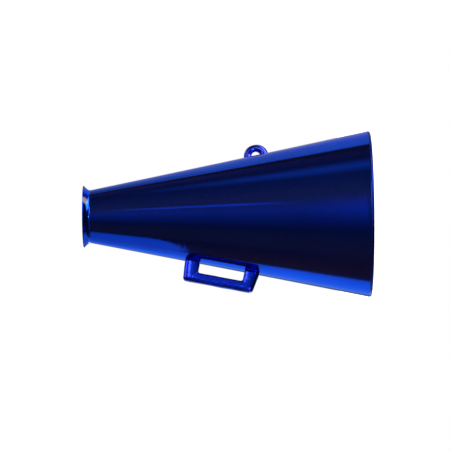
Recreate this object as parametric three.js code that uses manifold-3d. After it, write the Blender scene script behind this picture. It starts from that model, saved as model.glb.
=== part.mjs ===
// Cheer megaphone: a spun metal cone with a rolled bell edge, a screw-in mouthpiece,
// a one-piece cast handle and a small lanyard loop, both bolted on from the inside.
// Millimetres. It stands on its bell edge: +Z runs along the axis to the mouthpiece,
// the handle is on the -X side and the loop on the +X side.

import * as THREE from "three";
import { ConvexGeometry } from "three/addons/geometries/ConvexGeometry.js";
import { mergeVertices } from "three/addons/utils/BufferGeometryUtils.js";
import Module from "manifold-3d";

const wasm = await Module();
wasm.setup();

// Cone
const LENGTH = 508;         // bell edge to mouthpiece face
const BELL_R = 147.6;       // outside radius at the bell edge
const NECK_Z = 491;         // the side's curve is measured from the bell edge to here
const NECK_R = 47.8;        // outside radius there
const FOLD_Z = 495.5;       // the narrowest place, where the lip begins to flare
const BOW = 0.017;          // how much the side is hollow: slope change over the length
const WALL = 1.5;           // sheet thickness
const SHELL_TOP = 487;      // the sheet ends here, against the mouthpiece shoulder
const SPANS = 6;            // straight steps in the side
const TURN = 72;            // flats round the axis
const CLEAR = 0.15;         // air between two pieces that meet

// Rolled bell edge and the wire inside it
const HEM_R = 3.4;          // outside radius of the roll
const WIRE_R = 1.75;        // radius of the hoop wire

// Neck collar and mouthpiece
const COLLAR_Z = 462;       // lower end of the collar
const COLLAR_TOP = 484;
const SLEEVE_R = 43.5;      // bore of the collar
const THROAT_R = 40.5;      // clear bore of the mouthpiece
const LIP_R = 55.0;         // outside radius of the lip
const SEAL = 2.4;           // seal thickness
const LIP_OUTSIDE = [[47.1, 497.2], [47.9, 499], [49.3, 501], [51.2, 503], [53.2, 505]];
const FUNNEL = [[48, 503.8], [44.9, 498.5], [42.4, 491.5], [41, 484]];

// Handle, in its own frame: u along the cone's side to the bell, w straight out of it
const HANDLE_Z = 262.5;     // where the middle of the handle stands on the cone
const HANDLE_LONG = 127.6;  // over both legs
const LEG = 24;             // width of a leg along the cone, at the bar
const HANDLE_W = 17;        // thickness round the cone
const HANDLE_OUT = 37.5;    // outer face above the cone
const BAR = 17.6;           // bar thickness
const HANDLE_EDGE = 6;      // rounding of every edge
const HANDLE_ROOT = -16;    // the casting's blank reaches this far into the cone before it is cut
const FLARE = 3.2;          // how much wider a leg is at its foot, outward
const HANDLE_SCREW = 3;     // M6
const HANDLE_REACH = 20;    // how far up its leg a screw goes

// Lanyard loop, in the same kind of frame on the other side
const LOOP_Z = 200.5;       // where the middle of the loop stands on the cone
const LOOP_MAJOR = 15.1;    // radius of the arch's centre line
const LOOP_ROD = 6.3;       // radius of its round section
const LOOP_RISE = 1.8;      // height of the arch's centre above the cone
const FOOT_R = 7.4;         // foot radius
const LOOP_SCREW = 2;       // M4
const LOOP_REACH = 8;

const GASKET = 0.5;         // pads let into the feet of the handle and the loop
const PLATE = 2;            // backing plates: thickness, and length, width and corner below
const HANDLE_PLATE = [36, 26, 6];
const LOOP_PLATE = [54, 20, 6];

// Finishes
const LACQUER = { color: 0x1433b8, roughness: 0.12, metalness: 1 };
const CAST_LACQUER = { color: 0x102a9c, roughness: 0.22, metalness: 1 };
const BARE_ALUMINIUM = { color: 0xc4c4c8, roughness: 0.35, metalness: 1 };
const STEEL = { color: 0xaaaaae, roughness: 0.3, metalness: 1 };
const RUBBER = { color: 0x161618, roughness: 0.8, metalness: 0 };

const group = new THREE.Group();

function coneRadius(z) {
  const s = (NECK_Z - z) / NECK_Z;
  return NECK_R + (BELL_R - NECK_R) * (s + BOW * s * (s - 1));
}

// Angle between the cone's side and its axis at height z.
function coneAngle(z) {
  return Math.atan((coneRadius(z - 5) - coneRadius(z + 5)) / 10);
}

// Points up the cone's side, moved out by `offset` along the radius.
function side(offset, low, high) {
  const points = [[coneRadius(low) + offset, low]];
  for (let i = 1; i < SPANS; i++) {
    const z = (SHELL_TOP * i) / SPANS;
    if (z > low + 1 && z < high - 1) points.push([coneRadius(z) + offset, z]);
  }
  points.push([coneRadius(high) + offset, high]);
  return points;
}

// A closed three.js geometry as a solid that can be cut and joined.
function solidOf(geometry) {
  geometry.deleteAttribute("normal");
  geometry.deleteAttribute("uv");
  const merged = mergeVertices(geometry);
  const corners = merged.index.array;
  const triangles = [];
  for (let i = 0; i < corners.length; i += 3) {
    const [a, b, c] = corners.slice(i, i + 3);
    if (a !== b && b !== c && c !== a) triangles.push(a, b, c);
  }
  const vertProperties = merged.attributes.position.array;
  const triVerts = new Uint32Array(triangles);
  return new wasm.Manifold(new wasm.Mesh({ numProp: 3, vertProperties, triVerts }));
}

// Turns a profile of [radius, height] round Z. It closes on itself, or starts and ends on the axis.
function turned(points, flats = TURN) {
  const profile = points.map(([r, z]) => new THREE.Vector2(r, z));
  if (THREE.ShapeUtils.area(profile) < 0) profile.reverse();
  if (profile[0].x > 0 || profile.at(-1).x > 0) profile.push(profile[0].clone());
  return solidOf(new THREE.LatheGeometry(profile, flats).rotateX(Math.PI / 2));
}

// The space inside the cone's side, moved out by `offset`.
function coneSolid(offset) {
  const low = -20;
  const high = SHELL_TOP + 10;
  return turned([[0, low], ...side(offset, low, high), [0, high]]);
}

// The layer between two offsets from the cone's side.
function coneLayer(inner, outer) {
  return coneSolid(outer).subtract(coneSolid(inner));
}

// The frame of the cone's side at height z: u to the bell, v round the cone, w straight out.
function sideFrame(z, toward) {
  const a = coneAngle(z);
  const w = new THREE.Vector3(toward * Math.cos(a), 0, Math.sin(a));
  const u = new THREE.Vector3(toward * Math.sin(a), 0, -Math.cos(a));
  const v = new THREE.Vector3().crossVectors(w, u);
  return new THREE.Matrix4().makeBasis(u, v, w).setPosition(toward * coneRadius(z), 0, z);
}

function onCone(solid, z, toward) {
  return solid.transform(sideFrame(z, toward).elements);
}

// A group whose pieces are placed in the frame of the cone's side.
function seat(z, toward) {
  const made = new THREE.Group();
  sideFrame(z, toward).decompose(made.position, made.quaternion, made.scale);
  group.add(made);
  return made;
}

// A rod along w, at u, from one height to another, and a tapered one.
function rod(r, from, to, flats = 24, u = 0) {
  return tapered(r, r, from, to, flats, u);
}

function tapered(low, high, from, to, flats = 24, u = 0) {
  const made = new THREE.CylinderGeometry(high, low, to - from, flats);
  return solidOf(made.rotateX(Math.PI / 2).translate(u, 0, (from + to) / 2));
}

// A plate with round corners, centred on u and lying across the w direction.
function plateBlank(long, wide, corner, u, from, to) {
  const x = long / 2 - corner;
  const y = wide / 2 - corner;
  const outline = new THREE.Shape();
  [[x, y], [-x, y], [-x, -y], [x, -y]].forEach(([cx, cy], i) => {
    outline.absarc(cx, cy, corner, (i * Math.PI) / 2, ((i + 1) * Math.PI) / 2);
  });
  const depth = to - from;
  const flat = new THREE.ExtrudeGeometry(outline, { depth, bevelEnabled: false, curveSegments: 6 });
  return solidOf(flat.translate(u, 0, from));
}

function add(name, solid, finish, parent = group) {
  const mesh = solid.getMesh();
  const stride = mesh.numProp;
  const count = mesh.vertProperties.length / stride;
  const positions = new Float32Array(count * 3);
  for (let i = 0; i < count; i++)
    positions.set(mesh.vertProperties.subarray(i * stride, i * stride + 3), i * 3);
  const geometry = new THREE.BufferGeometry();
  geometry.setAttribute("position", new THREE.BufferAttribute(positions, 3));
  geometry.setIndex(new THREE.BufferAttribute(new Uint32Array(mesh.triVerts), 1));
  const made = new THREE.Mesh(geometry, new THREE.MeshStandardMaterial(finish));
  made.name = name;
  parent.add(made);
  return made;
}

// The rolled edge: the sheet turns in under the wire and stops just short of itself.
// Its lowest flat, between 76 and 104 degrees down, is what the megaphone stands on.
function hemCentre() {
  const z = HEM_R * Math.sin((76 * Math.PI) / 180);
  return [coneRadius(z) - HEM_R, z];
}

function hemPoints(r) {
  const [x, z] = hemCentre();
  const points = [];
  for (let degrees = 8; degrees >= -216; degrees -= 28) {
    const t = (degrees * Math.PI) / 180;
    points.push([x + r * Math.cos(t), Math.max(0, z + r * Math.sin(t))]);
  }
  return points;
}

function coneShell() {
  const outside = side(0, HEM_R * 1.6, SHELL_TOP);
  const inside = side(-WALL, HEM_R * 2.6, SHELL_TOP).reverse();
  return turned([...hemPoints(HEM_R).reverse(), ...outside, ...inside, ...hemPoints(HEM_R - WALL)]);
}

function bellHoop() {
  const [x, z] = hemCentre();
  return solidOf(new THREE.TorusGeometry(x, WIRE_R, 8, TURN).translate(0, 0, z));
}

function neckCollar() {
  const wall = side(-WALL - CLEAR, COLLAR_Z, COLLAR_TOP);
  return turned([[SLEEVE_R, COLLAR_Z], ...wall, [SLEEVE_R, COLLAR_TOP]]);
}

function mouthpieceSeal() {
  const low = COLLAR_TOP + CLEAR;
  const outer = coneRadius(low + SEAL) - WALL - CLEAR - 0.2;
  const inner = SLEEVE_R + CLEAR;
  return turned([[inner, low], [outer, low], [outer, low + SEAL], [inner, low + SEAL]]);
}

// Sleeve into the collar, a hollow curve up to the lip, a rounded lip and a funnel to the throat.
function mouthpiece() {
  const shoulder = SHELL_TOP + CLEAR;
  const points = [[THROAT_R, COLLAR_Z - 2], [SLEEVE_R - CLEAR, COLLAR_Z - 2]];
  points.push([SLEEVE_R - CLEAR, shoulder], [coneRadius(shoulder), shoulder]);
  points.push([coneRadius(FOLD_Z), FOLD_Z], ...LIP_OUTSIDE, [LIP_R - 0.5, LENGTH - 1.7]);
  points.push([LIP_R, LENGTH - 1], [LIP_R - 0.4, LENGTH - 0.3], [LIP_R - 1.2, LENGTH]);
  points.push([LIP_R - 4, LENGTH], [LIP_R - 6, LENGTH - 0.8], ...FUNNEL, [THROAT_R, 477]);
  return turned(points);
}

// Where the screws stand, along u.
function handleSpots() {
  const spot = HANDLE_LONG / 2 - LEG / 2;
  return [spot, -spot];
}

function loopSpots() {
  return [LOOP_MAJOR, -LOOP_MAJOR];
}

// A block with edges rounded to HANDLE_EDGE. `corners` are [u, w] pairs of the side view, and it
// is HANDLE_W thick round the cone.
function roundedBlock(corners) {
  const r = HANDLE_EDGE;
  const middle = corners.reduce((sum, [u]) => sum + u, 0) / corners.length;
  const low = Math.min(...corners.map(([, w]) => w));
  const points = [];
  for (const [u, w] of corners)
    for (const v of [r - HANDLE_W / 2, HANDLE_W / 2 - r]) {
      const ball = new THREE.SphereGeometry(r, 20, 10);
      ball.translate(u + (u < middle ? r : -r), v, w + (w > low ? -r : r));
      const spots = ball.attributes.position;
      for (let i = 0; i < spots.count; i++)
        points.push(new THREE.Vector3().fromBufferAttribute(spots, i));
    }
  return solidOf(new ConvexGeometry(points));
}

// A leg, whose outer side slants out toward the foot. `toward` is 1 for the one nearer the bell.
function leg(toward) {
  const half = HANDLE_LONG / 2;
  const inner = half - LEG;
  const foot = half + FLARE * (1 - HANDLE_ROOT / HANDLE_OUT);
  const corners = [[half, HANDLE_OUT], [inner, HANDLE_OUT], [inner, HANDLE_ROOT], [foot, HANDLE_ROOT]];
  return roundedBlock(corners.map(([u, w]) => [toward * u, w]));
}

// The web that rounds the inside corner between a leg and the bar.
function innerFillet(toward) {
  const r = HANDLE_EDGE;
  const u = HANDLE_LONG / 2 - LEG;
  const w = HANDLE_OUT - BAR;
  const lap = 3;
  const outline = new THREE.Shape();
  outline.moveTo(toward * (u + lap), w + lap);
  outline.lineTo(toward * (u + lap), w - r);
  const [start, end] = toward > 0 ? [0, Math.PI / 2] : [Math.PI, Math.PI / 2];
  outline.absarc(toward * (u - r), w - r, r, start, end, toward < 0);
  outline.lineTo(toward * (u - r), w + lap);
  const depth = HANDLE_W - 2 * HANDLE_EDGE + lap;
  const web = new THREE.ExtrudeGeometry(outline, { depth, bevelEnabled: false, curveSegments: 3 });
  return solidOf(web.translate(0, 0, -depth / 2).rotateX(Math.PI / 2));
}

function handle() {
  const half = HANDLE_LONG / 2;
  const inside = HANDLE_OUT - BAR;
  const bar = roundedBlock([[-half, inside], [half, inside], [half, HANDLE_OUT], [-half, HANDLE_OUT]]);
  const raw = wasm.Manifold.union([bar, leg(-1), leg(1), innerFillet(-1), innerFillet(1)]);
  let made = onCone(raw, HANDLE_Z, -1).subtract(coneSolid(CLEAR));
  for (const u of handleSpots()) {
    const pocket = plateBlank(LEG - 1.8, HANDLE_W - 5.4, 3.5, u, -10, 10);
    made = made.subtract(onCone(pocket, HANDLE_Z, -1).intersect(coneLayer(0, GASKET + CLEAR)));
    made = made.subtract(onCone(rod(HANDLE_SCREW + 0.1, -10, HANDLE_REACH + 4, 24, u), HANDLE_Z, -1));
  }
  return made;
}

// A thin curved pad or plate that follows the cone's side.
function saddle(blank, z, toward, inner, outer, holes, r) {
  let made = onCone(blank, z, toward).intersect(coneLayer(inner, outer));
  for (const u of holes) made = made.subtract(onCone(rod(r, -30, 30, 24, u), z, toward));
  return made;
}

// A button-head screw along w: the head's under-face is at `from`, with a hexagonal key hole.
function screw(r, headR, headH, from, to) {
  const low = from - headH;
  const body = turned([[0, low], [headR * 0.72, low], [headR, from], [r, from], [r, to], [0, to]], 24);
  return body.subtract(rod(r * 0.72, low - 1, low + headH * 0.6, 6));
}

function washer(outer, inner, from, to) {
  return turned([[inner, from], [outer, from], [outer, to], [inner, to]], 24);
}

// A round rod bent to a half ring on two feet, cut to sit on the cone.
function loop() {
  const ring = solidOf(new THREE.TorusGeometry(LOOP_MAJOR, LOOP_ROD, 16, 48).rotateX(Math.PI / 2));
  const below = rod(LOOP_MAJOR * 2, -LOOP_MAJOR * 2, 0, 12);
  const pieces = [ring.subtract(below).translate([0, 0, LOOP_RISE])];
  for (const u of loopSpots()) {
    pieces.push(rod(LOOP_ROD, -8, LOOP_RISE + 0.01, 20, u));
    pieces.push(tapered(FOOT_R + 1.2, LOOP_ROD, -6, 6, 20, u));
  }
  let made = onCone(wasm.Manifold.union(pieces), LOOP_Z, 1).subtract(coneSolid(CLEAR));
  for (const u of loopSpots()) {
    const pocket = onCone(rod(FOOT_R - 1.7, -10, 10, 24, u), LOOP_Z, 1);
    made = made.subtract(pocket.intersect(coneLayer(0, GASKET + CLEAR)));
    made = made.subtract(onCone(rod(LOOP_SCREW + 0.1, -10, LOOP_REACH + 1.5, 24, u), LOOP_Z, 1));
  }
  return made;
}

function shellWithHoles() {
  let made = coneShell();
  for (const u of handleSpots())
    made = made.subtract(onCone(rod(HANDLE_SCREW + 0.4, -12, 12, 24, u), HANDLE_Z, -1));
  for (const u of loopSpots())
    made = made.subtract(onCone(rod(LOOP_SCREW + 0.3, -12, 12, 24, u), LOOP_Z, 1));
  return made;
}

// A washer and the screw through it, in a seat on the cone's side, at u along it. The washer is
// given by outside radius, hole and thickness, the screw by radius, head radius and height, and reach.
function addScrew(name, n, place, u, face, washerSize, screwSize) {
  const [outer, hole, thick] = washerSize;
  const [r, headR, headH, to] = screwSize;
  const ring = add(`${name}_washer_${n}`, washer(outer, hole, face - thick, face), STEEL, place);
  const head = face - thick - CLEAR;
  const bolt = add(`${name}_screw_${n}`, screw(r, headR, headH, head, to), STEEL, place);
  ring.position.x = u;
  bolt.position.x = u;
}

// Each leg is held by a screw from inside, through a spring washer and a curved plate.
function addHandleFixings() {
  const place = seat(HANDLE_Z, -1);
  const plateIn = -WALL - CLEAR - PLATE;
  const hole = HANDLE_SCREW + 0.4;
  handleSpots().forEach((u, i) => {
    const n = i + 1;
    const pad = plateBlank(LEG - 2.4, HANDLE_W - 6, 3.2, u, -20, 20);
    add(`handle_gasket_${n}`, saddle(pad, HANDLE_Z, -1, CLEAR, GASKET, [u], hole), RUBBER);
    const plate = plateBlank(...HANDLE_PLATE, u, -20, 20);
    const curved = saddle(plate, HANDLE_Z, -1, plateIn, -WALL - CLEAR, [u], hole);
    add(`handle_backplate_${n}`, curved, BARE_ALUMINIUM);
    const washerSize = [5.6, HANDLE_SCREW + 0.2, 1.5];
    const screwSize = [HANDLE_SCREW, 5.6, 3.4, HANDLE_REACH];
    addScrew("handle", n, place, u, plateIn - 1.3, washerSize, screwSize);
  });
}

function addLoopFixings() {
  const place = seat(LOOP_Z, 1);
  const plateIn = -WALL - CLEAR - PLATE;
  const hole = LOOP_SCREW + 0.3;
  loopSpots().forEach((u, i) => {
    const n = i + 1;
    const pad = rod(FOOT_R - 2, -20, 20, 24, u);
    add(`loop_gasket_${n}`, saddle(pad, LOOP_Z, 1, CLEAR, GASKET, [u], hole), RUBBER);
    const washerSize = [3.9, LOOP_SCREW + 0.2, 1.1];
    const screwSize = [LOOP_SCREW, 3.8, 2.4, LOOP_REACH];
    addScrew("loop", n, place, u, plateIn - 0.8, washerSize, screwSize);
  });
  const plate = plateBlank(...LOOP_PLATE, 0, -20, 20);
  const curved = saddle(plate, LOOP_Z, 1, plateIn, -WALL - CLEAR, loopSpots(), hole);
  add("loop_backplate", curved, BARE_ALUMINIUM);
}

add("cone_shell", shellWithHoles(), LACQUER);
add("bell_hoop", bellHoop(), STEEL);
add("neck_collar", neckCollar(), BARE_ALUMINIUM);
add("mouthpiece_seal", mouthpieceSeal(), RUBBER);
add("mouthpiece", mouthpiece(), LACQUER);
add("handle", handle(), CAST_LACQUER);
addHandleFixings();
add("loop", loop(), CAST_LACQUER);
addLoopFixings();

export default group;
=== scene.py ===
"""Looks for the cheer megaphone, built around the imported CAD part."""

import math

import bmesh
import bpy
from mathutils import Matrix, Vector
from mathutils.noise import noise_vector, seed_set

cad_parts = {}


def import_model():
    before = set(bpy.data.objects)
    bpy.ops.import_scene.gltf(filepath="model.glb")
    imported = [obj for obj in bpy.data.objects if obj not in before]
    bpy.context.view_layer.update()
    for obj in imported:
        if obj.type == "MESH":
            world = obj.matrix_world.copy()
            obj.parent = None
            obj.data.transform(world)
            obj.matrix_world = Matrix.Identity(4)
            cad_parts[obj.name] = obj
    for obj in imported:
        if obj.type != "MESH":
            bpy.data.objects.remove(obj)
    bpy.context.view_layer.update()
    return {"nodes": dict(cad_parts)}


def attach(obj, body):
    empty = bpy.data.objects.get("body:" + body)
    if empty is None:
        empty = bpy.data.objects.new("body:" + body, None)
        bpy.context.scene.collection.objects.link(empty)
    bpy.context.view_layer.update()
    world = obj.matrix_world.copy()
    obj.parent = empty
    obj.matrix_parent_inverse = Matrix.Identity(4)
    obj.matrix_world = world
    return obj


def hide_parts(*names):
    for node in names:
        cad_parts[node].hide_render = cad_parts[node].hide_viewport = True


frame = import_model()
NODES = frame["nodes"]
MM = 0.001
SEED = 1
seed_set(SEED)    # noise_vector would otherwise differ from run to run

# Sizes of the CAD part, in millimetres, the same as in its source
LENGTH = 508.0
BELL_R = 147.6
NECK_Z = 491.0
NECK_R = 47.8
FOLD_Z = 495.5
BOW = 0.017
WALL = 1.5
SHELL_TOP = 487.0
CLEAR = 0.15
HEM_R = 3.4
HEM_Z = HEM_R * math.sin(math.radians(76))
WIRE_R = 1.75
COLLAR_Z = 462.0
COLLAR_TOP = 484.0
SLEEVE_R = 43.5
THROAT_R = 40.5
LIP_R = 55.0
SEAL = 2.4
HANDLE_Z = 262.5
HANDLE_LONG = 127.6
LEG = 24.0
HANDLE_W = 17.0
HANDLE_OUT = 37.5
BAR = 17.6
FLARE = 3.2
LOOP_Z = 200.5
LOOP_MAJOR = 15.1
LOOP_ROD = 6.3
LOOP_RISE = 1.8

# Finer shape of the rolled edge, in degrees round the roll
ROLL_START = -216                  # the sheet's tucked-in end
ROLL_END = 8                       # where the roll runs into the side

# Finer shape of the handle, in millimetres
HANDLE_EDGE = 4.6                  # tight rows of the cage stand this far from each edge
BAR_SHORTER = 3.6                  # the leg nearer the bell slants in by this much toward the bar
CORNER_BELL = 6.5                  # rounding of the outer corner nearer the bell
CORNER_NECK = 5.0
THIN_OUTSIDE = 0.34                # share of its width that the section loses at its outer edges
THIN_INSIDE = 0.1                  # and at its inner ones
HANDLE_BLEND = 7.0                 # below this height the handle follows the cone
UNEVEN = ((0.05, 0.35), (0.13, 0.14))    # waves of the hand polishing: number per mm, height

# Finer shape of the loop, in millimetres
LOOP_WIDE = LOOP_MAJOR - 0.5       # half the arch's width at its centre line
LOOP_START = 1.6                   # the arch starts this far above LOOP_RISE
LOOP_THICKER = 0.6                 # growth of the rod's radius toward its feet
BELL_THICKER = 0.5                 # further growth toward the foot nearer the bell
FOOT_R = 7.3
FOOT_HIGH = 9.0                    # height at which a foot starts to widen
FOOT_STEP = 0.5                    # a foot's second ring follows the cone this far above its first

# Camera and studio, in metres and radians, with the lens in millimetres
HANDLE_TURN = math.radians(15)     # the handle is turned this far toward the camera
CAMERA_AWAY = 4.882
AXIS_TILT = 0.0095                 # the axis rises this much toward the bell
AIM_Z = 0.2571
AIM_DROP = 0.0171
LENS = 220.4
FLOOR_R = 1.4
FLOOR_GAP = 0.0002                 # air under the bell edge


# --- Meshes ---------------------------------------------------------------------------------

def cone_radius(z):
    s = (NECK_Z - z) / NECK_Z
    return NECK_R + (BELL_R - NECK_R) * (s + BOW * s * (s - 1))


def cone_angle(z):
    return math.atan((cone_radius(z - 5) - cone_radius(z + 5)) / 10)


def new_piece(name, bm, material, node_names):
    """Makes an object of the bmesh, in millimetres, that stands for CAD nodes."""
    bmesh.ops.scale(bm, vec=(MM, MM, MM), verts=bm.verts)
    bmesh.ops.recalc_face_normals(bm, faces=bm.faces)
    mesh = bpy.data.meshes.new(name)
    bm.to_mesh(mesh)
    bm.free()
    for polygon in mesh.polygons:
        polygon.use_smooth = True
    mesh.materials.append(material)
    piece = bpy.data.objects.new(name, mesh)
    bpy.context.collection.objects.link(piece)
    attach(piece, "root")
    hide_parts(*node_names)
    return piece


def smooth_by_angle(piece, degrees=35):
    piece.data.set_sharp_from_angle(angle=math.radians(degrees))


def lathe(points, flats):
    """A closed profile of (radius, height) turned round Z."""
    bm = bmesh.new()
    rings = []
    for i in range(flats):
        t = 2 * math.pi * i / flats
        rings.append([bm.verts.new((r * math.cos(t), r * math.sin(t), z)) for r, z in points])
    count = len(points)
    for i in range(flats):
        a, b = rings[i], rings[(i + 1) % flats]
        for k in range(count):
            m = (k + 1) % count
            bm.faces.new((a[k], b[k], b[m], a[m]))
    return bm


def curve_through(points, steps):
    """A smooth run of points through the given ones (Catmull-Rom)."""
    out = []
    for i in range(len(points) - 1):
        p = [points[max(i - 1, 0)], points[i], points[i + 1], points[min(i + 2, len(points) - 1)]]
        for k in range(steps):
            t = k / steps
            out.append(tuple(
                0.5 * (2 * p[1][j] + (p[2][j] - p[0][j]) * t
                       + (2 * p[0][j] - 5 * p[1][j] + 4 * p[2][j] - p[3][j]) * t * t
                       + (3 * p[1][j] - p[0][j] - 3 * p[2][j] + p[3][j]) * t ** 3)
                for j in range(2)))
    out.append(points[-1])
    return out


def on_cone(z, toward):
    """Frame on the cone's side: u to the bell, v round it, w straight out. Millimetres."""
    a = cone_angle(z)
    w = Vector((toward * math.cos(a), 0, math.sin(a)))
    u = Vector((toward * math.sin(a), 0, -math.cos(a)))
    v = w.cross(u)
    m = Matrix((u, v, w)).transposed().to_4x4()
    m.translation = Vector((toward * cone_radius(z), 0, z))
    return m


def surface_drop(m, u, v, offset):
    """The w at which the point (u, v, w) of the frame meets the cone moved out by offset."""
    w = 0.0
    for _ in range(6):
        p = m @ Vector((u, v, w))
        w -= math.hypot(p.x, p.y) - cone_radius(p.z) - offset
    return w


# --- Materials ------------------------------------------------------------------------------

def material(name):
    made = bpy.data.materials.new(name)
    made.use_nodes = True
    return made, made.node_tree, made.node_tree.nodes["Principled BSDF"]


def node(tree, kind, inputs=None, **settings):
    made = tree.nodes.new(kind)
    for key, value in settings.items():
        setattr(made, key, value)
    for key, value in (inputs or {}).items():
        if hasattr(value, "is_linked"):
            tree.links.new(value, made.inputs[key])
        else:
            made.inputs[key].default_value = value
    return made


def math_node(tree, operation, a, b=0.0, c=0.0):
    return node(tree, "ShaderNodeMath", {0: a, 1: b, 2: c}, operation=operation).outputs[0]


def ramp(tree, factor, stops):
    made = node(tree, "ShaderNodeValToRGB", {"Fac": factor})
    elements = made.color_ramp.elements
    while len(elements) < len(stops):
        elements.new(0.5)
    for element, (place, colour) in zip(elements, stops):
        element.position = place
        element.color = (*colour, 1)
    return made.outputs["Color"]


def noise(tree, scale, detail=3.0):
    place = node(tree, "ShaderNodeTexCoord").outputs["Object"]
    inputs = {"Scale": scale, "Detail": detail, "Roughness": 0.5, "Vector": place}
    return node(tree, "ShaderNodeTexNoise", inputs).outputs["Fac"]


def between(tree, value, start, end, low=0.0, high=1.0):
    """Runs from low to high as the value runs from start to end."""
    inputs = {"Value": value, "From Min": start, "From Max": end, "To Min": low, "To Max": high}
    return node(tree, "ShaderNodeMapRange", inputs).outputs["Result"]


def mixed(tree, share, colour, other):
    """The colour, or the plain other one where `share` is 1."""
    made = node(tree, "ShaderNodeMix", {"Factor": share}, data_type="RGBA")
    tree.links.new(colour, made.inputs[6])
    made.inputs[7].default_value = (*other, 1)
    return made.outputs[2]


def bumped(tree, shader, scale, strength, height):
    """Fine waves on the surface, `height` metres high."""
    waves = noise(tree, scale, 2.0)
    bump = node(tree, "ShaderNodeBump", {"Height": waves, "Strength": strength, "Distance": height})
    tree.links.new(bump.outputs["Normal"], shader.inputs["Normal"])


def candy_blue(name, light, dark, gloss, ripple, haze, reflection_patch=None, edge=None, painted_shade=None):
    """Clear blue lacquer over polished metal, under a thin weathered haze.

    `gloss` is the lowest and highest roughness, `ripple` the scale and height of its waves, and
    `haze` the weight and roughness of the coat.
    """
    made, tree, shader = material(name)
    shader.inputs["Metallic"].default_value = 1.0
    shader.inputs["Specular Tint"].default_value = (0.56, 0.64, 1.0, 1)
    shader.inputs["Coat Weight"].default_value, shader.inputs["Coat Roughness"].default_value = haze
    shade = ramp(tree, noise(tree, 9.0, 4.0), [(0.35, dark), (0.65, light)])
    # painted reflection: a pale matt patch, if given
    if reflection_patch:
        shade = painted_reflection_patch(tree, shader, shade, *reflection_patch)
    # painted shade: faces that look one way are coloured darker
    if painted_shade:
        shade = painted_shade_toward(tree, shade, *painted_shade)
    spread = between(tree, noise(tree, 22.0, 5.0), 0.35, 0.75, *gloss)
    # painted shade below a height, with added roughness
    if edge:
        shade, spread = painted_shade_below(tree, shade, spread, *edge)
    tree.links.new(shade, shader.inputs["Base Color"])
    tree.links.new(spread, shader.inputs["Roughness"])
    scale, height = ripple
    bumped(tree, shader, scale, 1.0, height)
    return made


def painted_reflection_patch(tree, shader, shade, spot, reach, patch_colour):
    """Paints a reflection as a ragged pale matt patch round one spot, dulling the lacquer there."""
    place = node(tree, "ShaderNodeTexCoord").outputs["Object"]
    away = node(tree, "ShaderNodeVectorMath", {0: place, 1: spot}, operation="DISTANCE")
    ragged = math_node(tree, "MULTIPLY_ADD", noise(tree, 260.0), reach, away.outputs["Value"])
    share = between(tree, ragged, reach * 1.3, reach * 1.1)
    tree.links.new(math_node(tree, "SUBTRACT", 1.0, share), shader.inputs["Metallic"])
    return mixed(tree, share, shade, patch_colour)


def painted_shade_toward(tree, shade, direction, shade_colour):
    """Paints shade on the faces that look in one direction: their colour is made darker."""
    normal = node(tree, "ShaderNodeNewGeometry").outputs["Normal"]
    facing = node(tree, "ShaderNodeVectorMath", {0: normal, 1: direction}, operation="DOT_PRODUCT")
    return mixed(tree, between(tree, facing.outputs["Value"], 0.5, 0.8), shade, shade_colour)


def painted_shade_below(tree, shade, spread, height, shade_colour, dull_spread):
    """Paints shade on the lacquer below a height, near where it stands on the ground, and roughens it
    there.
    """
    place = node(tree, "ShaderNodeTexCoord").outputs["Object"]
    z = node(tree, "ShaderNodeSeparateXYZ", {0: place}).outputs["Z"]
    z = math_node(tree, "MULTIPLY_ADD", noise(tree, 90.0, 4.0), height * 0.5, z)
    share = between(tree, z, height * 1.35, height * 1.15)
    return mixed(tree, share, shade, shade_colour), math_node(tree, "MULTIPLY_ADD", share, dull_spread, spread)


def plain_metal(name, colour, dark, roughness, grain):
    """Bare machined or plated metal."""
    made, tree, shader = material(name)
    shader.inputs["Metallic"].default_value = 1.0
    shade = ramp(tree, noise(tree, 60.0, 5.0), [(0.3, dark), (0.7, colour)])
    tree.links.new(shade, shader.inputs["Base Color"])
    rough = between(tree, noise(tree, 35.0), 0.0, 1.0, roughness * 0.8, roughness * 1.3)
    tree.links.new(rough, shader.inputs["Roughness"])
    bumped(tree, shader, grain, 0.4, 0.0001)
    return made


def rubber(name):
    """Matt black moulded rubber."""
    made, tree, shader = material(name)
    shade = ramp(tree, noise(tree, 150.0, 4.0), [(0.3, (0.012, 0.012, 0.014)), (0.7, (0.03, 0.03, 0.032))])
    tree.links.new(shade, shader.inputs["Base Color"])
    tree.links.new(between(tree, noise(tree, 90.0), 0.0, 1.0, 0.55, 0.8), shader.inputs["Roughness"])
    bumped(tree, shader, 1500.0, 0.5, 0.0001)
    return made


MIRROR = {
    "light": (0.0048, 0.070, 0.79), "dark": (0.0035, 0.060, 0.72),
    "gloss": (0.02, 0.045), "ripple": (30.0, 0.00005), "haze": (0.1, 0.4),
}
# painted shade along the bell's rolled edge, which is also made rougher
BELL_EDGE_SHADE = (0.0048, (0.004, 0.02, 0.2), 0.3)                       # height, colour, added roughness
# painted reflection: a pale matt patch on the mouthpiece's lip
LIP_REFLECTION = ((0.0165, -0.0485, 0.504), 0.009, (0.2, 0.185, 0.18))    # spot, reach, colour
# painted shade on the handle's faces that look toward the cone
HANDLE_INSIDE_SHADE = ((0.98, 0.0, -0.2), (0.004, 0.01, 0.06))            # toward the cone, colour

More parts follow.
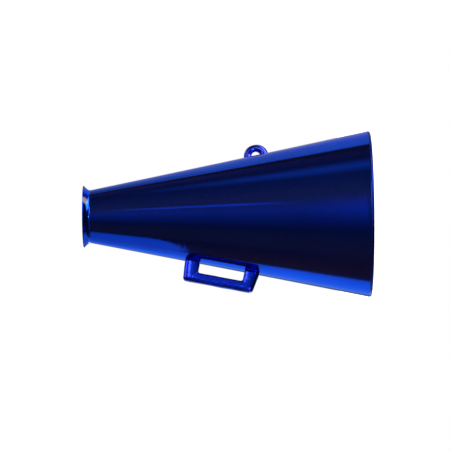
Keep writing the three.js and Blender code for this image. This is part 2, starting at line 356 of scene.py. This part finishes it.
CONE_BLUE = candy_blue("candy_blue_cone", **MIRROR, edge=BELL_EDGE_SHADE)
LIP_BLUE = candy_blue("candy_blue_mouthpiece", **MIRROR, reflection_patch=LIP_REFLECTION)
CAST_BLUE = candy_blue("candy_blue_casting", (0.006, 0.034, 0.72), (0.003, 0.02, 0.55),
                       (0.14, 0.26), (110.0, 0.0004), (0.35, 0.2), painted_shade=HANDLE_INSIDE_SHADE)
LOOP_BLUE = candy_blue("candy_blue_loop", (0.03, 0.045, 0.5), (0.016, 0.03, 0.42),
                       (0.18, 0.26), (60.0, 0.00008), (0.45, 0.2))
ALUMINIUM = plain_metal("machined_aluminium", (0.78, 0.78, 0.8), (0.62, 0.62, 0.64), 0.3, 900.0)
STEEL = plain_metal("plated_steel", (0.66, 0.66, 0.68), (0.5, 0.5, 0.52), 0.28, 1400.0)
RUBBER = rubber("black_rubber")


# --- Turned pieces --------------------------------------------------------------------------

def hem_arc(r, start, end, steps=24):
    """Points of the rolled edge at radius r, between two angles in degrees."""
    x = cone_radius(HEM_Z) - HEM_R
    points = []
    for i in range(steps + 1):
        t = math.radians(start + (end - start) * i / steps)
        points.append((x + r * math.cos(t), max(0.0, HEM_Z + r * math.sin(t))))
    return points


def cone_shell():
    rows = 60
    outside_low = HEM_R * 1.6
    inside_low = HEM_R * 2.2
    outside = []
    for i in range(rows + 1):
        z = outside_low + (SHELL_TOP - outside_low) * i / rows
        outside.append((cone_radius(z), z))
    inside = []
    for i in range(rows + 1):
        z = SHELL_TOP - (SHELL_TOP - inside_low) * i / rows
        inside.append((cone_radius(z) - WALL, z))
    outer_roll = hem_arc(HEM_R, ROLL_START, ROLL_END)
    inner_roll = hem_arc(HEM_R - WALL, ROLL_END, ROLL_START)
    bm = lathe(outer_roll + outside + inside + inner_roll, flats=360)
    piece = new_piece("cone", bm, CONE_BLUE, ["cone_shell"])
    smooth_by_angle(piece)


def mouthpiece():
    outer = curve_through([
        (cone_radius(SHELL_TOP + CLEAR), SHELL_TOP + CLEAR), (cone_radius(491), 491),
        (cone_radius(FOLD_Z - 0.8), FOLD_Z - 0.8), (46.95, 496.3), (47.3, 497.6), (48.0, 499), (49.4, 501),
        (51.2, 503), (53.2, 505), (LIP_R - 0.5, 506.3), (LIP_R - 0.05, 506.8),
        (LIP_R, 507.2), (LIP_R - 0.3, 507.7), (LIP_R - 1.2, LENGTH),
    ], 5)
    inner = curve_through([
        (LIP_R - 1.2, LENGTH), (LIP_R - 3.5, LENGTH), (LIP_R - 5.5, 507.3), (48.4, 504.6), (46.4, 501.4),
        (44.6, 497.8), (42.6, 492), (41.3, 485), (THROAT_R + 0.1, 479), (THROAT_R, 475),
    ], 5)
    sleeve = [
        (THROAT_R, COLLAR_Z - 1.4), (THROAT_R + 0.6, COLLAR_Z - 2), (SLEEVE_R - CLEAR - 0.6, COLLAR_Z - 2),
        (SLEEVE_R - CLEAR, COLLAR_Z - 1.4), (SLEEVE_R - CLEAR, SHELL_TOP + CLEAR),
    ]
    bm = lathe(outer + inner[1:] + sleeve, flats=240)
    piece = new_piece("mouthpiece_turned", bm, LIP_BLUE, ["mouthpiece"])
    smooth_by_angle(piece)


def neck_collar():
    edge = 0.5
    low = cone_radius(COLLAR_Z) - WALL - CLEAR
    high = cone_radius(COLLAR_TOP) - WALL - CLEAR
    points = [
        (SLEEVE_R + edge, COLLAR_Z), (low - edge, COLLAR_Z), (low, COLLAR_Z + edge),
        (high, COLLAR_TOP - edge), (high - edge, COLLAR_TOP), (SLEEVE_R + edge, COLLAR_TOP),
        (SLEEVE_R, COLLAR_TOP - edge), (SLEEVE_R, COLLAR_Z + edge),
    ]
    bm = lathe(points, flats=180)
    piece = new_piece("neck_ring", bm, ALUMINIUM, ["neck_collar"])
    smooth_by_angle(piece)


def mouthpiece_seal():
    slack = 0.2
    low = COLLAR_TOP + CLEAR
    outer = cone_radius(low + SEAL) - WALL - CLEAR - slack
    inner = SLEEVE_R + CLEAR
    r = 0.5
    points = [
        (inner + r, low), (outer - r, low), (outer, low + r), (outer, low + SEAL - r),
        (outer - r, low + SEAL), (inner + r, low + SEAL), (inner, low + SEAL - r), (inner, low + r),
    ]
    bm = lathe(points, flats=180)
    piece = new_piece("seal_ring", bm, RUBBER, ["mouthpiece_seal"])
    smooth_by_angle(piece, 60)


def bell_wire():
    x = cone_radius(HEM_Z) - HEM_R
    section = []
    steps = 20
    for i in range(steps):
        t = 2 * math.pi * i / steps
        section.append((x + WIRE_R * math.cos(t), HEM_Z + WIRE_R * math.sin(t)))
    new_piece("hoop_wire", lathe(section, flats=240), STEEL, ["bell_hoop"])


# --- Cast pieces ----------------------------------------------------------------------------

def handle():
    """A cage of cells with tight rows near each edge, subdivided, then shaped."""
    half = HANDLE_LONG / 2
    across = HANDLE_W / 2
    edge = HANDLE_EDGE
    inner = half - LEG
    gap = HANDLE_OUT - BAR
    foot_row = 2.0
    near = 1e-6
    us = [-half, -half + edge, -(inner + edge), -inner, -(inner - edge)]
    us += [-inner / 2, 0.0, inner / 2]
    us += [-u for u in reversed(us[:5])]
    vs = [-across, -across + edge, 0.0, across - edge, across]
    ws = [0.0, foot_row, gap * 0.5, gap - edge, gap, gap + edge, HANDLE_OUT - edge, HANDLE_OUT]

    def solid(i, k):
        return ws[k] >= gap - near or us[i] >= inner - near or us[i + 1] <= -inner + near

    bm = bmesh.new()
    spots = {}

    def vert(i, j, k):
        if (i, j, k) not in spots:
            spots[i, j, k] = bm.verts.new((us[i], vs[j], ws[k]))
        return spots[i, j, k]

    cells = {(i, j, k) for i in range(len(us) - 1) for j in range(len(vs) - 1)
             for k in range(len(ws) - 1) if solid(i, k)}
    sides = {
        (1, 0, 0): ((1, 0, 0), (1, 1, 0), (1, 1, 1), (1, 0, 1)),
        (-1, 0, 0): ((0, 0, 0), (0, 0, 1), (0, 1, 1), (0, 1, 0)),
        (0, 1, 0): ((0, 1, 0), (0, 1, 1), (1, 1, 1), (1, 1, 0)),
        (0, -1, 0): ((0, 0, 0), (1, 0, 0), (1, 0, 1), (0, 0, 1)),
        (0, 0, 1): ((0, 0, 1), (1, 0, 1), (1, 1, 1), (0, 1, 1)),
        (0, 0, -1): ((0, 0, 0), (0, 1, 0), (1, 1, 0), (1, 0, 0)),
    }
    for i, j, k in sorted(cells):
        for (di, dj, dk), corners in sides.items():
            if (i + di, j + dj, k + dk) not in cells:
                bm.faces.new([vert(i + a, j + b, k + c) for a, b, c in corners])
    bmesh.ops.recalc_face_normals(bm, faces=bm.faces)
    for _ in range(4):
        bm = subdivided(bm)
    m = on_cone(HANDLE_Z, -1)
    for v in bm.verts:
        v.co = m @ on_foot(m, uneven(flared(round_corner(rounded_section(v.co)))))
    new_piece("grip_casting", bm, CAST_BLUE, ["handle"])


def rounded_section(p):
    """Thins the casting toward its edges, most of all the outer ones."""
    across_leg = (abs(p.x) - HANDLE_LONG / 2 + LEG / 2) / (LEG / 2)
    across_bar = (p.z - HANDLE_OUT + BAR / 2) / (BAR / 2)
    a = max(0.0, across_leg + 1)
    b = max(0.0, across_bar + 1)
    square = 6    # a high power keeps the corner between leg and bar square
    place = min(1.0, (a ** square + b ** square) ** (1 / square) - 1)
    share = THIN_OUTSIDE if place > 0 else THIN_INSIDE
    return Vector((p.x, p.y * (1 - share * place * place), p.z))


def round_corner(p):
    """Bends the square outer corners to round ones, the one nearer the bell most."""
    r = CORNER_BELL if p.x > 0 else CORNER_NECK
    u = (abs(p.x) - HANDLE_LONG / 2 + r) / r
    w = (p.z - HANDLE_OUT + r) / r
    if u <= 0 or w <= 0:
        return p
    du = u * (math.sqrt(max(0.0, 1 - w * w / 2)) - 1) * r
    dw = w * (math.sqrt(max(0.0, 1 - u * u / 2)) - 1) * r
    return Vector((p.x - math.copysign(du, p.x), p.y, p.z + dw))


def flared(p):
    """Widens the legs toward their feet; the one nearer the bell also narrows toward the bar."""
    share = min(1.0, max(0.0, (abs(p.x) - HANDLE_LONG / 2 + LEG) / LEG))
    height = p.z / HANDLE_OUT
    out = share * FLARE * (1 - height)
    if p.x > 0:
        return Vector((p.x + out - share * BAR_SHORTER * height, p.y, p.z))
    return Vector((p.x - out, p.y, p.z))


def uneven(p):
    """The slight unevenness of a hand-polished casting."""
    moved = p
    for per_mm, height in UNEVEN:
        moved = moved + noise_vector(p * per_mm) * height
    return moved


def on_foot(m, p):
    """Lets the lowest part of the legs follow the cone."""
    share = min(1.0, max(0.0, 1 - p.z / HANDLE_BLEND))
    share = share * share * (3 - 2 * share)
    drop = surface_drop(m, p.x, p.y, CLEAR)
    return Vector((p.x, p.y, p.z * (1 - share) + (drop + max(0.0, p.z)) * share))


def subdivided(bm):
    """One level of subdivision surface, as a new bmesh."""
    mesh = bpy.data.meshes.new("cage")
    bm.to_mesh(mesh)
    bm.free()
    cage = bpy.data.objects.new("cage", mesh)
    bpy.context.collection.objects.link(cage)
    cage.modifiers.new("smooth", "SUBSURF").levels = 1
    made = bmesh.new()
    made.from_object(cage, bpy.context.evaluated_depsgraph_get())
    bpy.data.objects.remove(cage)
    bpy.data.meshes.remove(mesh)
    return made


def loop():
    """A round rod bent to a half ring, thickening to two feet that sit on the cone."""
    m = on_cone(LOOP_Z, 1)
    path = []
    for w in (0.0, 1.0):
        path.append((Vector((LOOP_WIDE, 0, w)), Vector((0, 0, 1)), w))
    steps = 64
    for i in range(steps + 1):
        t = math.pi * i / steps
        height = LOOP_RISE + LOOP_START + (LOOP_MAJOR - LOOP_START) * math.sin(t)
        spot = Vector((LOOP_WIDE * math.cos(t), 0, height))
        path.append((spot, Vector((-math.sin(t), 0, math.cos(t))), None))
    for w in (1.0, 0.0):
        path.append((Vector((-LOOP_WIDE, 0, w)), Vector((0, 0, -1)), w))
    bm = bmesh.new()
    flats = 48
    rings = []
    for spot, along, foot in path:
        r = LOOP_ROD + LOOP_THICKER * abs(spot.x) / LOOP_MAJOR
        if spot.x > 0:
            r += BELL_THICKER * spot.x / LOOP_MAJOR
        r += (FOOT_R - LOOP_ROD) * max(0.0, 1 - spot.z / FOOT_HIGH) ** 2
        side = along.cross(Vector((0, 1, 0))).normalized()
        ring = []
        for k in range(flats):
            t = 2 * math.pi * k / flats
            p = spot + side * (r * math.cos(t)) + Vector((0, r * math.sin(t), 0))
            if foot is not None:
                p.z = surface_drop(m, p.x, p.y, CLEAR) + foot * FOOT_STEP
            ring.append(bm.verts.new(m @ p))
        rings.append(ring)
    for a, b in zip(rings, rings[1:]):
        for k in range(flats):
            n = (k + 1) % flats
            bm.faces.new((a[k], a[n], b[n], b[k]))
    for ring in (rings[0], rings[-1]):
        bm.faces.new(ring)
    piece = new_piece("lanyard_loop", bm, LOOP_BLUE, ["loop"])
    smooth_by_angle(piece, 50)


# --- Studio ---------------------------------------------------------------------------------

def view_axes():
    """The camera's right, up and back, with the handle turned toward it and the bell to the right."""
    back = Vector((-math.sin(HANDLE_TURN), -math.cos(HANDLE_TURN), 0))
    right = Vector((0, 0, -1))
    up = back.cross(right)
    c, s = math.cos(AXIS_TILT), math.sin(AXIS_TILT)
    return c * right - s * up, c * up + s * right, back


def camera():
    right, up, back = view_axes()
    aim = Vector((0, 0, AIM_Z)) - up * AIM_DROP
    data = bpy.data.cameras.new("camera")
    data.lens = LENS
    data.sensor_width = 36
    data.clip_end = 100
    made = bpy.data.objects.new("camera", data)
    bpy.context.collection.objects.link(made)
    turn = Matrix((right, up, back)).transposed().to_4x4()
    turn.translation = aim + back * CAMERA_AWAY
    made.matrix_world = turn
    bpy.context.scene.camera = made


def panel(tree, azimuth, elevation, patch):
    """A soft-edged patch of light or shade on the studio's far wall. Angles in degrees."""
    away = math_node(tree, "SUBTRACT", azimuth, math.radians(patch["centre"]))
    slope = math_node(tree, "MULTIPLY", away, patch.get("slope", 0.0))
    height = math_node(tree, "SUBTRACT", elevation, slope)
    away = math_node(tree, "ARCCOSINE", math_node(tree, "COSINE", away))

    def edge(value, start, end):
        inputs = {"Value": value, "From Min": math.radians(start), "From Max": math.radians(end)}
        return node(tree, "ShaderNodeMapRange", inputs, interpolation_type="SMOOTHSTEP").outputs["Result"]

    half, soft = patch["half"], patch["soft"]
    low, high = patch["low"], patch.get("high")
    fade = patch.get("fade", FADE)
    lit = edge(away, half + soft, half - soft)
    lit = math_node(tree, "MULTIPLY", lit, edge(height, low - fade, low + fade))
    if high is not None:
        lit = math_node(tree, "MULTIPLY", lit, edge(height, high + fade, high - fade))
    return lit


def world():
    """A dim room with patches of light. The camera itself sees plain white behind the object."""
    made = bpy.data.worlds.new("studio")
    bpy.context.scene.world = made
    made.use_nodes = True
    tree = made.node_tree
    shader = tree.nodes["Background"]
    shader.inputs["Strength"].default_value = 1.0
    direction = node(tree, "ShaderNodeTexCoord").outputs["Generated"]
    behind = Vector((math.sin(HANDLE_TURN), math.cos(HANDLE_TURN), 0))
    above = Vector((math.cos(HANDLE_TURN), -math.sin(HANDLE_TURN), 0))

    def along(axis):
        made = node(tree, "ShaderNodeVectorMath", {0: direction, 1: axis}, operation="DOT_PRODUCT")
        return made.outputs["Value"]

    azimuth = math_node(tree, "ARCTAN2", along(above), along(behind))
    elevation = math_node(tree, "ARCSINE", along(Vector((0, 0, 1))))
    lit = ROOM
    for patch in PATCHES:
        share = panel(tree, azimuth, elevation, patch)
        colour = Vector(patch.get("tint", (1, 1, 1))) * patch["level"]
        lit = node(tree, "ShaderNodeVectorMath", {0: colour, 1: share, 2: lit}, operation="MULTIPLY_ADD")
        lit = lit.outputs[0]
    lit = node(tree, "ShaderNodeVectorMath", {0: lit, 1: DARKEST}, operation="MAXIMUM").outputs[0]
    path = node(tree, "ShaderNodeLightPath")
    plain = mixed(tree, path.outputs["Is Diffuse Ray"], lit, EVEN_LIGHT)
    plain = mixed(tree, path.outputs["Is Camera Ray"], plain, BACKDROP)
    tree.links.new(plain, shader.inputs["Color"])


ROOM = (0.03, 0.03, 0.03)             # where no patch is
DARKEST = (0.012, 0.012, 0.012)       # no patch takes away more
EVEN_LIGHT = (0.8, 0.8, 0.8)          # what falls on matt surfaces
BACKDROP = (1.0, 1.0, 1.0)            # what the camera sees directly
FADE = 5.0                            # half the width of a soft upper or lower bound, in degrees

# Light and shade round the megaphone, in degrees. Azimuth 0 is straight behind it from the camera
# and grows toward the loop's side. `low` and `high` bound the elevation, which grows toward the
# mouthpiece, and `slope` slants those bounds. A negative level or tint takes light away.
PATCHES = [
    # white sweep behind, cooler toward the handle, dimmer and warmer toward the loop, and a dark
    # band across it
    {"centre": -2.5, "half": 67, "soft": 2.5, "level": 0.55, "low": -44, "high": 50, "slope": 0.19},
    {"centre": -46, "half": 22, "soft": 12, "level": 0.42, "low": -20, "high": 11.5, "fade": 3,
     "tint": (-0.2, 1, 1)},
    {"centre": 42, "half": 21, "soft": 13, "level": -0.36, "low": 11.8, "high": 60, "fade": 2.4},
    {"centre": 40, "half": 20, "soft": 10, "level": 0.3, "low": 7.5, "high": 30, "fade": 2,
     "tint": (1, 0.4, -0.3)},
    {"centre": -17, "half": 4.5, "soft": 3, "level": -0.5, "low": -20, "high": 40},
    # reddish and bluish light high up: on the loop's side, then behind the camera
    {"centre": 75, "half": 11, "soft": 11, "level": 0.42, "low": 12.4, "high": 60, "fade": 3,
     "tint": (1, 0.12, 0.125)},
    {"centre": -168, "half": 3, "soft": 9, "level": 0.05, "low": 14, "high": 60, "tint": (0, 0.15, 1)},
    {"centre": -130, "half": 17, "soft": 8, "level": 0.31, "low": 14, "high": 60,
     "tint": (1, 0.08, 0.02)},
    # panels on the handle's side, and the warm dark between them
    {"centre": -88, "half": 19, "soft": 6, "level": 0.5, "low": 16.8, "slope": -0.155, "fade": 0.08,
     "tint": (0.4, 0.9, 1.05)},
    {"centre": -85, "half": 20, "soft": 8, "level": 0.4, "low": -20, "high": -2, "fade": 4},
    {"centre": -104, "half": 32, "soft": 14, "level": 0.64, "low": 0, "high": 16.5, "fade": 3,
     "tint": (1, 0.02, -0.005)},
    # strip on the loop's side
    {"centre": 104, "half": 6, "soft": 8, "level": 0.19, "low": -30, "high": 18.6, "fade": 1.6},
    # glow of the room behind the camera, and the bright edge of a stand
    {"centre": 152, "half": 50, "soft": 24, "level": 0.045, "low": -30, "high": 60,
     "tint": (0.6, 0.8, 1)},
    {"centre": 172, "half": 10, "soft": 13, "level": 0.12, "low": -30, "high": 60,
     "tint": (0, 0.45, 1)},
    {"centre": 171, "half": 14, "soft": 12, "level": 0.23, "low": -30, "high": 20.2, "fade": 1.6,
     "tint": (0, 0.5, 1)},
    {"centre": 158, "half": 2, "soft": 2.5, "level": 0.4, "low": 21.8, "high": 24.2, "fade": 0.8,
     "tint": (0, 0.6, 1)},
    # lights that mostly the castings and the turned edges see
    {"centre": -175, "half": 62, "soft": 7, "level": 0.34, "low": -8, "high": 8, "fade": 3,
     "tint": (0.1, 0.75, 1)},
    {"centre": -152, "half": 16, "soft": 6, "level": 0.34, "low": 4, "high": 12.5, "fade": 2,
     "tint": (0.1, 0.75, 1)},
    {"centre": 148, "half": 20, "soft": 6, "level": 2.0, "low": 34, "high": 50, "fade": 5},
    {"centre": 84, "half": 32, "soft": 12, "level": 0.4, "low": -20, "high": 5, "fade": 4,
     "tint": (1, 0.8, 1)},
    {"centre": 118, "half": 46, "soft": 12, "level": 0.5, "low": 32, "high": 66, "fade": 4,
     "tint": (0.9, 0.7, 1)},
    {"centre": 112, "half": 26, "soft": 10, "level": 5.0, "low": -62, "high": -14, "fade": 6},
    {"centre": 90, "half": 60, "soft": 12, "level": 0.22, "low": -60, "high": 0, "fade": 6,
     "tint": (0.1, 0.6, 1)},
    {"centre": 152, "half": 16, "soft": 5, "level": 13.0, "low": 11.5, "high": 15.5, "fade": 1.8},
    {"centre": 180, "half": 3, "soft": 1, "level": 25.0, "low": -24, "high": -14, "fade": 2},
    {"centre": -28, "half": 2, "soft": 1, "level": 40.0, "low": -9, "high": -5, "fade": 1},
    # high light on the loop's side, then overhead
    {"centre": 46, "half": 34, "soft": 10, "level": 2.5, "low": 36, "high": 54, "fade": 6},
    {"centre": 0, "half": 181, "soft": 1, "level": 0.4, "low": 70, "fade": 8},
]


def floor():
    bm = bmesh.new()
    bmesh.ops.create_circle(bm, cap_ends=True, segments=96, radius=FLOOR_R)
    mesh = bpy.data.meshes.new("floor")
    bm.to_mesh(mesh)
    bm.free()
    made = bpy.data.objects.new("floor", mesh)
    made.location.z = -FLOOR_GAP
    bpy.context.collection.objects.link(made)
    mat, tree, shader = material("floor_pale")
    shade = ramp(tree, noise(tree, 3.0), [(0.3, (0.88, 0.88, 0.88)), (0.7, (0.9, 0.9, 0.9))])
    tree.links.new(shade, shader.inputs["Base Color"])
    shader.inputs["Roughness"].default_value = 0.9
    shader.inputs["Specular IOR Level"].default_value = 0.1
    shader.inputs["Emission Color"].default_value = (1, 1, 1, 1)
    shader.inputs["Emission Strength"].default_value = 0.55
    mesh.materials.append(mat)
    made.visible_glossy = False


def overhead_light():
    data = bpy.data.lights.new("overhead", "AREA")
    data.shape = "DISK"
    data.size = 2.4
    data.energy = 60
    made = bpy.data.objects.new("overhead", data)
    made.location = (0, 0, 2.2)
    made.visible_camera = False
    made.visible_glossy = False
    bpy.context.collection.objects.link(made)


cone_shell()
mouthpiece()
neck_collar()
mouthpiece_seal()
bell_wire()
handle()
loop()

CARRIED = {"gasket": RUBBER, "backplate": ALUMINIUM, "washer": STEEL, "screw": STEEL}
for name, cad_piece in NODES.items():
    for word, finish in CARRIED.items():
        if word in name:
            cad_piece.data.materials.clear()
            cad_piece.data.materials.append(finish)

camera()
world()
floor()
overhead_light()
bpy.context.scene.view_settings.view_transform = "Standard"
